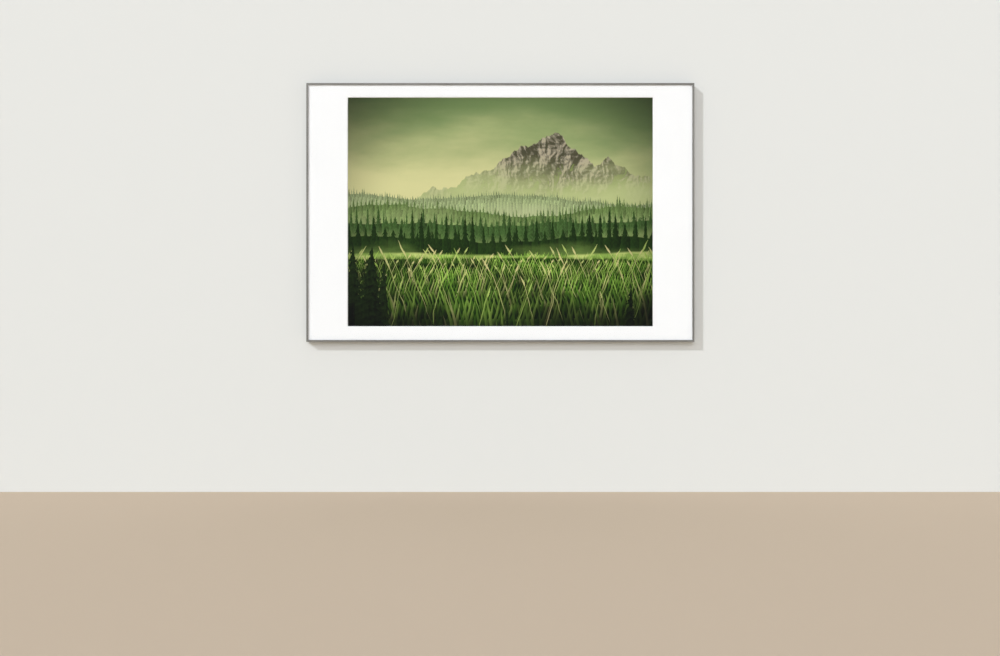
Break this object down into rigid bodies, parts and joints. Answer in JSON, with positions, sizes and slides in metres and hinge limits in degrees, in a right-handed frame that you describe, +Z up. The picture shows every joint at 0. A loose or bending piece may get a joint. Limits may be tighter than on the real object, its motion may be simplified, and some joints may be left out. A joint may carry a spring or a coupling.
{
  "type": "framed wall print",
  "caption": "Landscape print behind a wide white window mat and clear glazing, in a slim satin aluminium section frame that hangs flat on a wall by keyhole plates.",
  "frame": {"origin": "on the wall, behind the centre of the frame", "axes": "+Z up; the print faces -Y and the wall is the plane Y = 0; +X to the right for someone who looks at the print"},
  "size_m": [1.208, 0.034, 0.806],
  "materials": {
    "anodised_aluminium": "satin",
    "clear_acrylic": "polished",
    "mat_board": "matte",
    "print_paper": "satin",
    "foam_board": "matte",
    "hardboard": "matte",
    "zinc_steel": "satin",
    "spring_steel": "satin",
    "rubber": "matte"
  },
  "bodies": {
    "root": {"rail_bottom": "anodised_aluminium", "rail_left": "anodised_aluminium", "rail_top": "anodised_aluminium", "rail_right": "anodised_aluminium", "spring_bottom_1": "spring_steel", "spring_bottom_2": "spring_steel", "spring_bottom_3": "spring_steel", "spring_left_1": "spring_steel", "spring_left_2": "spring_steel", "spring_top_1": "spring_steel", "spring_top_2": "spring_steel", "spring_top_3": "spring_steel", "spring_right_1": "spring_steel", "spring_right_2": "spring_steel", "glazing": "clear_acrylic", "window_mat": "mat_board", "print_sheet": "print_paper", "foam_board": "foam_board", "backing_board": "hardboard", "pressure_plate_bottom_left": "zinc_steel", "corner_plate_bottom_left": "zinc_steel", "corner_screw_bottom_left_1": "zinc_steel", "corner_screw_bottom_left_2": "zinc_steel", "pressure_plate_top_left": "zinc_steel", "corner_plate_top_left": "zinc_steel", "corner_screw_top_left_1": "zinc_steel", "corner_screw_top_left_2": "zinc_steel", "pressure_plate_top_right": "zinc_steel", "corner_plate_top_right": "zinc_steel", "corner_screw_top_right_1": "zinc_steel", "corner_screw_top_right_2": "zinc_steel", "pressure_plate_bottom_right": "zinc_steel", "corner_plate_bottom_right": "zinc_steel", "corner_screw_bottom_right_1": "zinc_steel", "corner_screw_bottom_right_2": "zinc_steel", "hanger_plate_left": "zinc_steel", "hanger_nut_bar_left": "zinc_steel", "hanger_screw_left_1": "zinc_steel", "hanger_screw_left_2": "zinc_steel", "hanger_plate_right": "zinc_steel", "hanger_nut_bar_right": "zinc_steel", "hanger_screw_right_1": "zinc_steel", "hanger_screw_right_2": "zinc_steel", "bumper_bottom_left": "rubber", "bumper_top_left": "rubber", "bumper_top_right": "rubber", "bumper_bottom_right": "rubber"}
  },
  "joints": []
}
